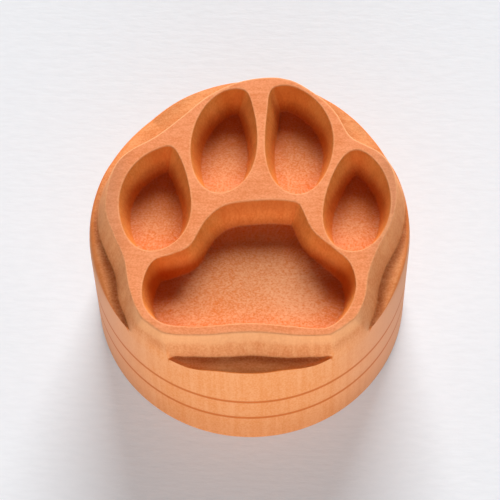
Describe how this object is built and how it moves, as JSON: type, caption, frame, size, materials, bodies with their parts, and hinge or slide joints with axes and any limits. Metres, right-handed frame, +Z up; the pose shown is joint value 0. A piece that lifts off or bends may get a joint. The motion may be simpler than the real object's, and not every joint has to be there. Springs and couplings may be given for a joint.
{
  "type": "hand stamp",
  "caption": "Stubby round wooden hand stamp: a carved end-grain face with a raised plateau and sunk paw-print pockets, on stacked discs keyed by a dowel, for pressing a relief into clay.",
  "frame": {"origin": "on the block's axis at the flat underside of the base disc", "axes": "+Z up along the block's axis and out of the carved face, +Y towards the toes of the print, +X to the right of a viewer who looks at the face with the toes up"},
  "size_m": [0.038, 0.038, 0.0236],
  "materials": {
    "face_wood": "oiled close-grained hardwood, end grain on the carved face, satin",
    "side_wood": "oiled close-grained hardwood, turned and sanded along the grain, satin",
    "dowel_wood": "plain unfinished hardwood dowel, matt"
  },
  "bodies": {
    "root": {"base_disc": "side_wood", "middle_disc": "side_wood", "carved_face_block": "face_wood", "centre_dowel": "dowel_wood"}
  },
  "joints": []
}
